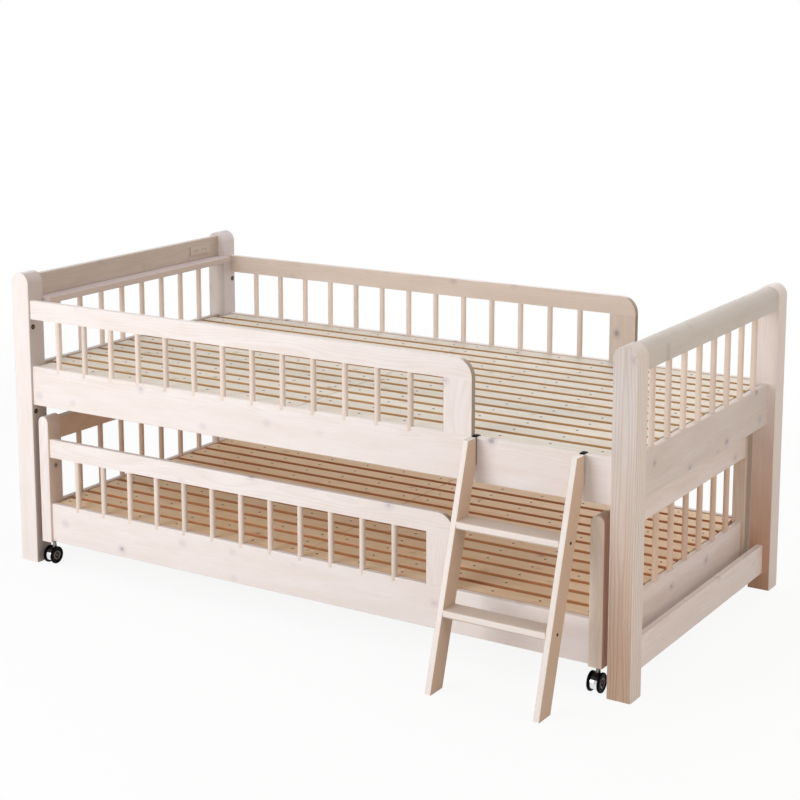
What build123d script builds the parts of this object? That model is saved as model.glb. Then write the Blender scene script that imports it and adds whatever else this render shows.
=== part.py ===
from build123d import *

import os
from math import cos, radians, sin, tan

# A low two-tier wooden bed: an upper bed on four posts, a lower bed on casters that rolls out
# from under it, guard rails with round spindles, lengthwise slats and a hook-on ladder.
# Millimetres, +Z up. Inside this script x runs from the head (0) to the foot, y from the front (0)
# to the back and z up from the floor. The origin of the finished part is the middle of the floor
# area that the bed and its ladder cover, so every piece is moved there when it is written.

# Whole bed
bed_length = 2090.0
bed_width = 1050.0
wood_round = 3.0
fit_gap = 0.2
seat_gap = 0.3
cut_overrun = 5.0

# Posts of the upper bed
post_length = 67.0
post_depth = 65.0
post_height = 922.0

# Side rails, the same section on both beds
rail_height = 122.0
rail_thickness = 19.0
rail_recess = 8.0
rail_bottom = 508.5
rail_round = 2.5

# Guard rails and their end posts
guard_height = 58.0
guard_thickness = 18.0
guard_recess = 6.0
guard_opening = 149.0
guard_end_width = 88.0
guard_corner_radius = 52.0
guard_reach = 1623.0
guard_spindle_count = 13
guard_tenon = 14.0

# Spindles
spindle_diameter = 17.0
spindle_tenon = 12.0

# Head and foot panels
panel_thickness = 20.0
panel_recess = 24.0
panel_tenon = 16.0
panel_shoulder = 6.0
panel_spindle_count = 8
head_board_height = 70.0
head_board_top = 911.0
shelf_thickness = 20.0
shelf_reach = 94.0
foot_rail_height = 66.0
foot_rail_inset = 2.5
stretcher_height = 88.0
stretcher_bottom = 50.0

# Two-socket outlet in the head board
outlet_length = 106.0
outlet_height = 29.0
outlet_lip = 3.0
outlet_body_length = 96.0
outlet_body_height = 22.0
outlet_body_depth = 18.0
outlet_from_back = 159.0
outlet_round = 4.0
outlet_socket_spacing = 43.0
outlet_slot_spacing = 12.7
outlet_slot_width = 2.2
outlet_slot_height = 8.0
outlet_slot_depth = 11.0

# Slats, battens and ledgers
slat_count = 13
slat_gap = 19.0
slat_thickness = 12.0
slat_drop = 2.0
slat_edge_gap = 5.0
slat_end_gap = 8.0
slat_post_gap = 6.0
slat_seam = 3.0
slat_round = 1.5
batten_count = 7
batten_width = 45.0
batten_thickness = 18.0
batten_from_seam = 43.0
batten_from_end = 66.8
lower_batten_from_end = 32.0
batten_end_gap = 1.5
ledger_height = 28.0
ledger_depth = 25.0
ledger_end_gap = 2.0

# Nails that hold the slats
nail_head_diameter = 7.5
nail_head_height = 1.4
nail_shank_diameter = 2.4
nail_length = 24.0
nail_gap = 0.1

# Corner brackets and their bolts
bracket_leg = 38.0
bracket_thickness = 3.0
bracket_height = 44.0
bracket_below_ledger = 6.0
bolt_head_diameter = 10.0
bolt_head_height = 3.5
bolt_shank_diameter = 5.0
bolt_length = 15.0
bolt_spacing = 26.0
bolt_inset = 22.0

# Insert nuts that show on the inner faces of the posts
nut_flange_diameter = 16.0
nut_flange_height = 1.5
nut_body_diameter = 10.0
nut_length = 13.0
nut_bore_diameter = 6.0
guard_nut_drop = 25.5
rail_nut_drop = 21.5
nut_inset = 16.0

# Lower bed
lower_side_gap = 16.0
lower_front = 6.0
lower_back_gap = 6.0
lower_post_length = 40.0
lower_post_depth = 60.0
lower_post_bottom = 73.0
lower_post_top = 476.0
lower_rail_lift = 3.0
lower_spindle_count = 12
lower_guard_reach = 1568.0
lower_top_board_height = 66.0
lower_top_board_top = 464.0
lower_top_board_inset = 4.0
lower_panel_thickness = 18.0
lower_panel_recess = 11.0
lower_nut_drop = 30.0

# Casters
wheel_diameter = 54.0
wheel_width = 7.0
wheel_round = 2.5
wheel_recess_diameter = 27.0
wheel_recess_depth = 1.2
axle_diameter = 8.0
axle_gap = 0.06
drum_diameter = 46.0
drum_width = 21.0
caster_trail = 8.0
caster_from_end = 24.0
caster_hub_diameter = 15.0
caster_hub_height = 26.0
caster_stem_diameter = 8.0
caster_stem_length = 32.0
socket_diameter = 12.0
socket_depth = 34.0
socket_flange_diameter = 20.0
socket_flange_height = 1.5
stem_gap = 0.06

# Ladder
ladder_width = 330.0
ladder_lean = 16.8
ladder_reach = 226.0
ladder_top = 630.0
ladder_back_gap = 3.0
stringer_width = 18.0
stringer_depth = 60.0
tread_thickness = 22.0
tread_depth = 62.0
tread_nose_radius = 8.0
lower_tread_top = 211.0
upper_tread_top = 430.0
hook_width = 13.0
hook_from_side = 4.5
hook_guard_gap = 0.5
hook_thickness = 2.5
hook_plate_length = 74.0
hook_lip_length = 11.0
screw_head_diameter = 8.0
screw_head_height = 1.6
screw_shank_diameter = 4.0
screw_length = 34.0
hook_screw_length = 16.0
hook_screw_spacing = 40.0

# Heights and places worked out from the sizes above
rail_top = rail_bottom + rail_height
rail_inner = rail_recess + rail_thickness
slat_top = rail_top - slat_drop
guard_bottom = rail_top + guard_opening
head_inner = panel_recess + panel_thickness
ledger_top = slat_top - slat_thickness - batten_thickness
lower_left = post_length + lower_side_gap
lower_right = bed_length - lower_left
lower_back = bed_width - lower_back_gap
lower_rail_bottom = lower_post_bottom + lower_rail_lift
lower_rail_top = lower_rail_bottom + rail_height
wheel_radius = wheel_diameter / 2
ladder_left = guard_reach + hook_guard_gap - hook_from_side
origin_y = (bed_width - ladder_reach) / 2
origin = (bed_length / 2, origin_y, 0)


def box(x0, x1, y0, y1, z0, z1):
    """A plain block between two corners."""
    size = Vector(x1 - x0, y1 - y0, z1 - z0)
    middle = Vector((x0 + x1) / 2, (y0 + y1) / 2, (z0 + z1) / 2)
    return Pos(middle.X, middle.Y, middle.Z) * Box(size.X, size.Y, size.Z)


def eased(solid, axis, radius):
    """Rounds the edges of a block that run along one axis."""
    return fillet(solid.edges().filter_by(axis), radius)


def rod(centre, direction, diameter, length):
    """A round rod that starts at a point and runs along a direction."""
    plane = Plane(origin=centre, z_dir=direction)
    half = length / 2
    return plane * Pos(0, 0, half) * Cylinder(diameter / 2, length)


def mirrored_y(solid, width):
    """The same piece on the other long side."""
    return mirror(solid, Plane.XZ.offset(-width / 2))


def group(solids):
    """Several separate solids in one node."""
    return Compound(children=[piece for piece in solids])


def spread(start, end, count):
    """Places that divide a span evenly, without its ends."""
    step = (end - start) / (count + 1)
    return [start + step * (index + 1) for index in range(count)]


def arched_post(x0, x1, y0, y1, z0, z1):
    """An upright whose top is a half circle seen from the front."""
    radius = (x1 - x0) / 2
    shaft = box(x0, x1, y0, y1, z0, z1 - radius)
    crown = rod(((x0 + x1) / 2, y0, z1 - radius), (0, 1, 0), x1 - x0, y1 - y0)
    post = shaft + crown
    rims = post.faces().filter_by(Axis.Y).edges()
    rims = [edge for edge in rims if edge.center().Z > z0 + wood_round]
    return fillet(rims, wood_round)


def arched_rail(x0, x1, y0, y1, z0, z1):
    """A rail along the width whose top is a half circle seen from its end."""
    radius = (x1 - x0) / 2
    lower = box(x0, x1, y0, y1, z0, z1 - radius)
    crown = rod(((x0 + x1) / 2, y0, z1 - radius), (0, 1, 0), x1 - x0, y1 - y0)
    rail = lower + crown
    low_edges = rail.edges().filter_by(Axis.Y).group_by(Axis.Z)[0]
    return fillet(low_edges, wood_round)


def panel_board(x0, x1, y0, y1, z0, z1):
    """A board between two posts, with its long edges eased."""
    return eased(box(x0, x1, y0, y1, z0, z1), Axis.Y, rail_round)


def tenon_block(x0, x1, y0, y1, z0, z1, length, spare):
    """The tenons of a board along y, or with spare the mortises that hold them."""
    cheek = (x1 - x0) / 4
    return box(
        x0 + cheek - spare,
        x1 - cheek + spare,
        y0 - length - spare,
        y1 + length + spare,
        z0 + panel_shoulder - spare,
        z1 - panel_shoulder + spare,
    )


def spindles_y(x, y0, y1, count, z0, z1):
    """Upright spindles in a row along the width, with tenons above and below."""
    length = z1 - z0 + 2 * spindle_tenon
    start = z0 - spindle_tenon
    return [rod((x, y, start), (0, 0, 1), spindle_diameter, length) for y in spread(y0, y1, count)]


def spindles_x(y, x0, x1, count, z0, z1):
    """Upright spindles in a row along the length, with tenons above and below."""
    length = z1 - z0 + 2 * spindle_tenon
    start = z0 - spindle_tenon
    return [rod((x, y, start), (0, 0, 1), spindle_diameter, length) for x in spread(x0, x1, count)]


def spindle_holes(places, z, downward):
    """Blind holes for one end of a row of spindles."""
    depth = spindle_tenon + fit_gap
    low = z - depth if downward else z - cut_overrun
    holes = []
    for x, y in places:
        bore = spindle_diameter + 2 * fit_gap
        holes.append(rod((x, y, low), (0, 0, 1), bore, depth + cut_overrun))
    return holes


def cut_all(solid, cutters):
    """Takes several cutters out of one solid in one step."""
    return solid.cut(*cutters) if cutters else solid


nodes = {}
post_cuts = {"head_front": [], "head_rear": [], "foot_front": [], "foot_rear": []}

# Posts of the upper bed, before their mortises and holes
front_post_span = (0, post_depth)
rear_post_span = (bed_width - post_depth, bed_width)
inner_front = post_depth
inner_rear = bed_width - post_depth
foot_inner = bed_length - post_length

posts = {
    "head_front": arched_post(0, post_length, *front_post_span, 0, post_height),
    "head_rear": arched_post(0, post_length, *rear_post_span, 0, post_height),
    "foot_front": arched_post(foot_inner, bed_length, *front_post_span, 0, post_height),
    "foot_rear": arched_post(foot_inner, bed_length, *rear_post_span, 0, post_height),
}

# Head panel: top board with a shelf, spindles, lower board and stretcher
head_x = (panel_recess, head_inner)
foot_x = (bed_length - head_inner, bed_length - panel_recess)
panel_y = (inner_front, inner_rear)
board_bottom = head_board_top - head_board_height
shelf_bottom = board_bottom - shelf_thickness
panel_middle = panel_recess + panel_thickness / 2


def end_board(x_span, z0, z1, ends):
    """A tenoned board between two posts; it books its mortises with both posts."""
    body = panel_board(*x_span, *panel_y, z0, z1)
    tenons = tenon_block(*x_span, *panel_y, z0, z1, panel_tenon, 0)
    for end in ends:
        post_cuts[end].append(tenon_block(*x_span, *panel_y, z0, z1, panel_tenon, fit_gap))
    return body + tenons


head_ends = ("head_front", "head_rear")
foot_ends = ("foot_front", "foot_rear")

head_spindle_places = [(panel_middle, y) for y in spread(*panel_y, panel_spindle_count)]
foot_spindle_places = [(bed_length - panel_middle, y) for y in spread(*panel_y, panel_spindle_count)]

outlet_y = inner_rear - outlet_from_back + outlet_length / 2
outlet_z = board_bottom + head_board_height / 2
outlet_pocket = box(
    head_inner - outlet_body_depth - fit_gap,
    head_inner + cut_overrun,
    outlet_y - outlet_body_length / 2 - fit_gap,
    outlet_y + outlet_body_length / 2 + fit_gap,
    outlet_z - outlet_body_height / 2 - fit_gap,
    outlet_z + outlet_body_height / 2 + fit_gap,
)
nodes["head_top_board"] = end_board(head_x, board_bottom, head_board_top, head_ends) - outlet_pocket

shelf = box(head_x[0], shelf_reach, *panel_y, shelf_bottom, board_bottom)
shelf = fillet(shelf.edges().filter_by(Axis.Y).group_by(Axis.X)[-1], rail_round)
nodes["head_shelf"] = cut_all(shelf, spindle_holes(head_spindle_places, shelf_bottom, False))

nodes["head_spindles"] = group(
    spindles_y(panel_middle, *panel_y, panel_spindle_count, rail_top, shelf_bottom)
)
head_lower = end_board(head_x, rail_bottom, rail_top, head_ends)
nodes["head_lower_board"] = cut_all(head_lower, spindle_holes(head_spindle_places, rail_top, True))
stretcher_top = stretcher_bottom + stretcher_height
nodes["head_stretcher"] = end_board(head_x, stretcher_bottom, stretcher_top, head_ends)

# Outlet: a face plate with its moulded body behind it
plate = box(
    head_inner,
    head_inner + outlet_lip,
    outlet_y - outlet_length / 2,
    outlet_y + outlet_length / 2,
    outlet_z - outlet_height / 2,
    outlet_z + outlet_height / 2,
)
plate = eased(plate, Axis.X, outlet_round)
body = box(
    head_inner - outlet_body_depth,
    head_inner,
    outlet_y - outlet_body_length / 2,
    outlet_y + outlet_body_length / 2,
    outlet_z - outlet_body_height / 2,
    outlet_z + outlet_body_height / 2,
)
slots = []
for socket_side in (-1, 1):
    for slot_side in (-1, 1):
        slot_y = outlet_y + socket_side * outlet_socket_spacing / 2
        slot_y = slot_y + slot_side * outlet_slot_spacing / 2
        slots.append(
            box(
                head_inner + outlet_lip - outlet_slot_depth,
                head_inner + outlet_lip + cut_overrun,
                slot_y - outlet_slot_width / 2,
                slot_y + outlet_slot_width / 2,
                outlet_z - outlet_slot_height / 2,
                outlet_z + outlet_slot_height / 2,
            )
        )
nodes["outlet_unit"] = cut_all(plate + body, slots)

# Foot panel: arched top rail, spindles, lower board and stretcher
foot_rail_top = post_height - foot_rail_inset
foot_rail_bottom = foot_rail_top - foot_rail_height
foot_rail = arched_rail(
    foot_inner + foot_rail_inset,
    bed_length - foot_rail_inset,
    *panel_y,
    foot_rail_bottom,
    foot_rail_top,
)
foot_tenon_x = (foot_inner + panel_recess, bed_length - panel_recess)
foot_tenon_z = (foot_rail_bottom, foot_rail_top - post_length / 2)
foot_rail = foot_rail + tenon_block(*foot_tenon_x, *panel_y, *foot_tenon_z, panel_tenon, 0)
for end in foot_ends:
    post_cuts[end].append(tenon_block(*foot_tenon_x, *panel_y, *foot_tenon_z, panel_tenon, fit_gap))
nodes["foot_top_rail"] = cut_all(
    foot_rail, spindle_holes(foot_spindle_places, foot_rail_bottom, False)
)
nodes["foot_spindles"] = group(
    spindles_y(
        bed_length - panel_middle, *panel_y, panel_spindle_count, rail_top, foot_rail_bottom
    )
)
foot_lower = end_board(foot_x, rail_bottom, rail_top, foot_ends)
nodes["foot_lower_board"] = cut_all(foot_lower, spindle_holes(foot_spindle_places, rail_top, True))
nodes["foot_stretcher"] = end_board(foot_x, stretcher_bottom, stretcher_top, foot_ends)


def bolt(centre, direction, head, head_height, shank, length):
    """A round-headed bolt: its head stands on a face and its shank runs into it."""
    top = Vector(*centre)
    out = Vector(*direction)
    cap = rod(top, direction, head, head_height)
    back = tuple(-part for part in (out.X, out.Y, out.Z))
    return cap + rod(top, back, shank, length)


def corner_bracket(x_face, y_face, x_side, y_side, z0):
    """A steel angle on a post's end face and a rail's inner face, with its four bolts and holes."""
    x_leg = sorted((x_face, x_face + x_side * bracket_thickness))
    x_long = sorted((x_face, x_face + x_side * bracket_leg))
    y_leg = sorted((y_face, y_face + y_side * bracket_thickness))
    y_long = sorted((y_face, y_face + y_side * (bracket_leg - bracket_thickness)))
    z1 = z0 + bracket_height
    angle = box(*x_long, *y_leg, z0, z1) + box(*x_leg, *y_long, z0, z1)
    bolts, holes = [], []
    for level in (-1, 1):
        z = (z0 + z1) / 2 + level * bolt_spacing / 2
        seats = (
            ((x_face + x_side * bolt_inset, y_face + y_side * bracket_thickness, z), (0, y_side, 0)),
            ((x_face + x_side * bracket_thickness, y_face + y_side * bolt_inset, z), (x_side, 0, 0)),
        )
        for place, out in seats:
            bolts.append(
                bolt(place, out, bolt_head_diameter, bolt_head_height, bolt_shank_diameter, bolt_length)
            )
            back = tuple(-part for part in out)
            holes.append(
                rod(place, back, bolt_shank_diameter + 2 * fit_gap, bolt_length + fit_gap)
            )
    return cut_all(angle, holes), bolts, holes


def insert_nut(centre, direction):
    """A flanged insert nut let into a post, and the hole that holds it."""
    back = tuple(-part for part in direction)
    flange = rod(centre, direction, nut_flange_diameter, nut_flange_height)
    sleeve = rod(centre, back, nut_body_diameter, nut_length)
    top = tuple(place + part * nut_flange_height for place, part in zip(centre, direction))
    bore = rod(top, back, nut_bore_diameter, nut_length)
    hole = rod(centre, back, nut_body_diameter + 2 * fit_gap, nut_length + fit_gap)
    return flange + sleeve - bore, hole


# Side rails, ledgers and corner brackets of the upper bed
rail_x = (post_length, foot_inner)
rail_y_front = (rail_recess, rail_inner)
bracket_z = ledger_top - ledger_height - bracket_below_ledger - bracket_height
rail_front = eased(box(*rail_x, *rail_y_front, rail_bottom, rail_top), Axis.X, rail_round)
rail_rear = mirrored_y(rail_front, bed_width)
upper_brackets, upper_bolts = [], []
rail_holes = {"front": [], "rear": []}
for x_face, x_side, end in ((post_length, 1, "head"), (foot_inner, -1, "foot")):
    for y_face, y_side, side in ((rail_inner, 1, "front"), (bed_width - rail_inner, -1, "rear")):
        angle, bolts, holes = corner_bracket(x_face, y_face, x_side, y_side, bracket_z)
        upper_brackets.append(angle)
        upper_bolts.extend(bolts)
        rail_holes[side].extend(holes)
        post_cuts[end + "_" + side].extend(holes)

# Guards: top rail with a large rounded free corner, end post and spindles on the side rail
guard_y_front = (guard_recess, guard_recess + guard_thickness)


def guard_set(x0, x1, y_span, z0, count):
    """One guard above a side rail: its rail, its end post, its spindles and their places."""
    low = z0 + guard_opening
    high = low + guard_height
    beam = box(x0, x1, *y_span, low, high)
    corner = beam.edges().filter_by(Axis.Y).sort_by(lambda edge: edge.center().X + edge.center().Z)
    beam = fillet(corner[-1], guard_corner_radius)
    rims = beam.faces().filter_by(Axis.Y).edges()
    free = [rim for rim in rims if rim.center().Z > low + wood_round and rim.center().X > x0 + wood_round]
    beam = fillet(free, rail_round)
    tenon_height = guard_height / 4
    tenon_side = guard_thickness / 4
    tenon = box(
        x0 - guard_tenon,
        x0 + guard_tenon,
        y_span[0] + tenon_side,
        y_span[1] - tenon_side,
        low + tenon_height,
        high - tenon_height,
    )
    mortise = box(
        x0 - guard_tenon - fit_gap,
        x0 + cut_overrun,
        y_span[0] + tenon_side - fit_gap,
        y_span[1] - tenon_side + fit_gap,
        low + tenon_height - fit_gap,
        high - tenon_height + fit_gap,
    )
    end_left = x1 - guard_end_width
    end_post = eased(box(end_left, x1, *y_span, z0, low), Axis.Z, rail_round)
    middle = (y_span[0] + y_span[1]) / 2
    places = [(x, middle) for x in spread(x0, end_left, count)]
    beam = cut_all(beam + tenon, spindle_holes(places, low, False))
    row = spindles_x(middle, x0, end_left, count, z0, low)
    return beam, end_post, row, places, mortise


guard_front, guard_end_front, guard_row_front, guard_places, guard_mortise = guard_set(
    post_length, guard_reach, guard_y_front, rail_top, guard_spindle_count
)
rail_front = cut_all(rail_front, rail_holes["front"] + spindle_holes(guard_places, rail_top, True))
rear_places = [(x, bed_width - y) for x, y in guard_places]
rail_rear = cut_all(rail_rear, rail_holes["rear"] + spindle_holes(rear_places, rail_top, True))
post_cuts["head_front"].append(guard_mortise)
post_cuts["head_rear"].append(mirrored_y(guard_mortise, bed_width))

nodes["side_rail_front"] = rail_front
nodes["side_rail_rear"] = rail_rear
nodes["guard_rail_front"] = guard_front
nodes["guard_rail_rear"] = mirrored_y(guard_front, bed_width)
nodes["guard_end_posts"] = group([guard_end_front, mirrored_y(guard_end_front, bed_width)])
nodes["guard_spindles_front"] = group(guard_row_front)
nodes["guard_spindles_rear"] = group([mirrored_y(piece, bed_width) for piece in guard_row_front])
nodes["upper_corner_brackets"] = group(upper_brackets)
nodes["upper_bolts"] = group(upper_bolts)

# Insert nuts below the guards and below the side rails
nuts = []
for y, side in ((nut_inset, "front"), (bed_width - nut_inset, "rear")):
    for x, out, end, drops in (
        (post_length, 1, "head", (guard_bottom - guard_nut_drop, rail_bottom - rail_nut_drop)),
        (foot_inner, -1, "foot", (rail_bottom - rail_nut_drop,)),
    ):
        for z in drops:
            nut, hole = insert_nut((x, y, z), (out, 0, 0))
            nuts.append(nut)
            post_cuts[end + "_" + side].append(hole)
nodes["post_insert_nuts"] = group(nuts)

for name, post in posts.items():
    end, side = name.split("_")
    nodes[end + "_post_" + side] = cut_all(post, post_cuts[name])


def ledgers(x0, x1, y_front, y_rear, top):
    """Two strips on the inner faces of the side rails that carry the battens."""
    low = top - ledger_height
    span = (x0 + ledger_end_gap, x1 - ledger_end_gap)
    return [
        box(*span, y_front, y_front + ledger_depth, low, top),
        box(*span, y_rear - ledger_depth, y_rear, low, top),
    ]


def slat_rows(y_front, y_rear):
    """The y span of every slat, from front to back."""
    field = y_rear - y_front - 2 * slat_edge_gap
    width = (field - (slat_count - 1) * slat_gap) / slat_count
    rows = []
    for index in range(slat_count):
        start = y_front + slat_edge_gap + index * (width + slat_gap)
        rows.append((start, start + width))
    return rows


def nail(x, y, top, spare):
    """A flat-headed nail down from the slat's top face, or with spare the hole that holds it."""
    head = rod((x, y, top - nail_head_height - spare), (0, 0, 1),
               nail_head_diameter + 2 * spare, nail_head_height + spare)
    shank = rod((x, y, top - nail_length - spare), (0, 0, 1),
                nail_shank_diameter + 2 * spare, nail_length)
    return head + shank


def slat_deck(x_inner, x_outer, post_face, direction, from_end, y_front, y_rear, top):
    """One half of a slat deck: slats with their nail holes, battens and nails.

    x_inner is the seam, x_outer the far end of the long slats and post_face where the outermost
    slats stop short at the posts. from_end is the last batten's distance from x_outer.
    """
    middle = bed_length / 2
    rows = slat_rows(y_front, y_rear)
    spacing = (abs(x_outer - middle) - batten_from_seam - from_end) / (batten_count - 1)
    batten_places = [
        middle + direction * (batten_from_seam + index * spacing)
        for index in range(batten_count)
    ]
    slats, nails, batten_holes = [], [], [[] for place in batten_places]
    for index, (y0, y1) in enumerate(rows):
        outermost = index in (0, slat_count - 1)
        far = post_face if outermost else x_outer
        x_span = sorted((x_inner, far))
        slat = eased(box(*x_span, y0, y1, top - slat_thickness, top), Axis.X, slat_round)
        holes = []
        for number, x in enumerate(batten_places):
            y = (y0 + y1) / 2
            nails.append(nail(x, y, top, 0))
            hole = nail(x, y, top, nail_gap)
            holes.append(hole)
            batten_holes[number].append(hole)
        slats.append(cut_all(slat, holes))
    battens = []
    for number, x in enumerate(batten_places):
        half = batten_width / 2
        under = top - slat_thickness
        span = (y_front + batten_end_gap, y_rear - batten_end_gap)
        batten = box(x - half, x + half, *span, under - batten_thickness, under)
        battens.append(cut_all(batten, batten_holes[number]))
    return slats, battens, nails


# Slat decks of the upper bed
seam_left = bed_length / 2 - slat_seam / 2
seam_right = bed_length / 2 + slat_seam / 2
upper_y = (rail_inner, bed_width - rail_inner)
head_deck = slat_deck(
    seam_left,
    head_inner + slat_end_gap,
    post_length + slat_post_gap,
    -1,
    batten_from_end,
    *upper_y,
    slat_top,
)
foot_deck = slat_deck(
    seam_right,
    bed_length - head_inner - slat_end_gap,
    foot_inner - slat_post_gap,
    1,
    batten_from_end,
    *upper_y,
    slat_top,
)
nodes["upper_ledgers"] = group(ledgers(*rail_x, *upper_y, ledger_top))
nodes["upper_slats_head"] = group(head_deck[0])
nodes["upper_slats_foot"] = group(foot_deck[0])
nodes["upper_battens"] = group(head_deck[1] + foot_deck[1])
nodes["upper_slat_nails"] = group(head_deck[2] + foot_deck[2])

# Lower bed: posts, end panels, side rails and guard
lower_front_post_y = (lower_front, lower_front + lower_post_depth)
lower_rear_post_y = (lower_back - lower_post_depth, lower_back)
lower_panel_y = (lower_front + lower_post_depth, lower_back - lower_post_depth)
lower_head_x = (lower_left, lower_left + lower_post_length)
lower_foot_x = (lower_right - lower_post_length, lower_right)
lower_z = (lower_post_bottom, lower_post_top)
lower_rail_y = (lower_front + rail_recess, lower_front + rail_inner)
lower_inner_y = (lower_rail_y[1], lower_back - rail_inner)
lower_ledger_top = lower_rail_top - slat_drop - slat_thickness - batten_thickness
lower_mirror_width = lower_front + lower_back
lower_cuts = {"head": {"front": [], "rear": []}, "foot": {"front": [], "rear": []}}
top_board_bottom = lower_top_board_top - lower_top_board_height

top_boards, end_boards, end_spindles = [], [], []
for end, x_span, flip in (("head", lower_head_x, 0), ("foot", lower_foot_x, 1)):
    outer = x_span[flip]
    inward = 1 - 2 * flip
    board_x = sorted((outer + inward * lower_panel_recess,
                      outer + inward * (lower_panel_recess + lower_panel_thickness)))
    top_x = (x_span[0] + lower_top_board_inset, x_span[1] - lower_top_board_inset)
    middle_x = (board_x[0] + board_x[1]) / 2
    spots = [(middle_x, y) for y in spread(*lower_panel_y, panel_spindle_count)]
    top_z = (top_board_bottom, lower_top_board_top)
    low_z = (lower_rail_bottom, lower_rail_top)
    top_board = panel_board(*top_x, *lower_panel_y, *top_z)
    top_board = top_board + tenon_block(*board_x, *lower_panel_y, *top_z, panel_tenon, 0)
    low_board = panel_board(*board_x, *lower_panel_y, *low_z)
    low_board = low_board + tenon_block(*board_x, *lower_panel_y, *low_z, panel_tenon, 0)
    top_boards.append(cut_all(top_board, spindle_holes(spots, top_board_bottom, False)))
    end_boards.append(cut_all(low_board, spindle_holes(spots, lower_rail_top, True)))
    end_spindles.extend(
        spindles_y(middle_x, *lower_panel_y, panel_spindle_count, lower_rail_top, top_board_bottom)
    )
    for side in ("front", "rear"):
        lower_cuts[end][side].append(
            tenon_block(*board_x, *lower_panel_y, *top_z, panel_tenon, fit_gap))
        lower_cuts[end][side].append(
            tenon_block(*board_x, *lower_panel_y, *low_z, panel_tenon, fit_gap))
nodes["lower_top_boards"] = group(top_boards)
nodes["lower_end_boards"] = group(end_boards)
nodes["lower_end_spindles"] = group(end_spindles)

lower_rail_x = (lower_head_x[1], lower_foot_x[0])
lower_rail = eased(
    box(*lower_rail_x, *lower_rail_y, lower_rail_bottom, lower_rail_top), Axis.X, rail_round
)
lower_guard_y = (lower_front + guard_recess, lower_front + guard_recess + guard_thickness)
lower_guard, lower_guard_end, lower_guard_row, lower_places, lower_mortise = guard_set(
    lower_rail_x[0], lower_guard_reach, lower_guard_y, lower_rail_top, lower_spindle_count
)
lower_cuts["head"]["front"].append(lower_mortise)
nodes["lower_guard_rail"] = lower_guard
nodes["lower_guard_end_post"] = lower_guard_end
nodes["lower_guard_spindles"] = group(lower_guard_row)

lower_bracket_z = lower_ledger_top - ledger_height - bracket_below_ledger - bracket_height
lower_bracket_z = max(lower_bracket_z, lower_rail_bottom)
lower_brackets, lower_bolts = [], []
lower_rail_holes = {"front": [], "rear": []}
for x_face, x_side, end in ((lower_rail_x[0], 1, "head"), (lower_rail_x[1], -1, "foot")):
    for y_face, y_side, side in ((lower_inner_y[0], 1, "front"), (lower_inner_y[1], -1, "rear")):
        angle, bolts, holes = corner_bracket(x_face, y_face, x_side, y_side, lower_bracket_z)
        lower_brackets.append(angle)
        lower_bolts.extend(bolts)
        lower_rail_holes[side].extend(holes)
        lower_cuts[end][side].extend(holes)
nodes["lower_corner_brackets"] = group(lower_brackets)

lower_nut_z = lower_rail_top + guard_opening - lower_nut_drop
for y, side in ((sum(lower_front_post_y) / 2, "front"), (sum(lower_rear_post_y) / 2, "rear")):
    nut, hole = insert_nut((lower_rail_x[0], y, lower_nut_z), (1, 0, 0))
    lower_bolts.append(nut)
    lower_cuts["head"][side].append(hole)
nodes["lower_bolts"] = group(lower_bolts)

lower_front_cuts = lower_rail_holes["front"] + spindle_holes(lower_places, lower_rail_top, True)
nodes["lower_side_rail_front"] = cut_all(lower_rail, lower_front_cuts)
lower_rear_rail = mirrored_y(lower_rail, lower_mirror_width)
nodes["lower_side_rail_rear"] = cut_all(lower_rear_rail, lower_rail_holes["rear"])

# Slat decks of the lower bed
lower_slat_top = lower_rail_top - slat_drop
lower_board_inner = lower_left + lower_panel_recess + lower_panel_thickness
lower_head_deck = slat_deck(
    seam_left,
    lower_board_inner + slat_post_gap,
    lower_rail_x[0] + slat_post_gap,
    -1,
    lower_batten_from_end,
    *lower_inner_y,
    lower_slat_top,
)
lower_foot_deck = slat_deck(
    seam_right,
    bed_length - lower_board_inner - slat_post_gap,
    lower_rail_x[1] - slat_post_gap,
    1,
    lower_batten_from_end,
    *lower_inner_y,
    lower_slat_top,
)
nodes["lower_ledgers"] = group(ledgers(*lower_rail_x, *lower_inner_y, lower_ledger_top))
nodes["lower_slats_head"] = group(lower_head_deck[0])
nodes["lower_slats_foot"] = group(lower_foot_deck[0])
nodes["lower_battens"] = group(lower_head_deck[1] + lower_foot_deck[1])
nodes["lower_slat_nails"] = group(lower_head_deck[2] + lower_foot_deck[2])

# Casters: a socket in the post, a swivelling body with its stem, and a pair of wheels on an axle
sockets = []
caster_spots = {}
for end, x in (("head", lower_left + caster_from_end), ("foot", lower_right - caster_from_end)):
    for side, span in (("front", lower_front_post_y), ("rear", lower_rear_post_y)):
        caster_spots[end + "_" + side] = (x, (span[0] + span[1]) / 2)

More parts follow.
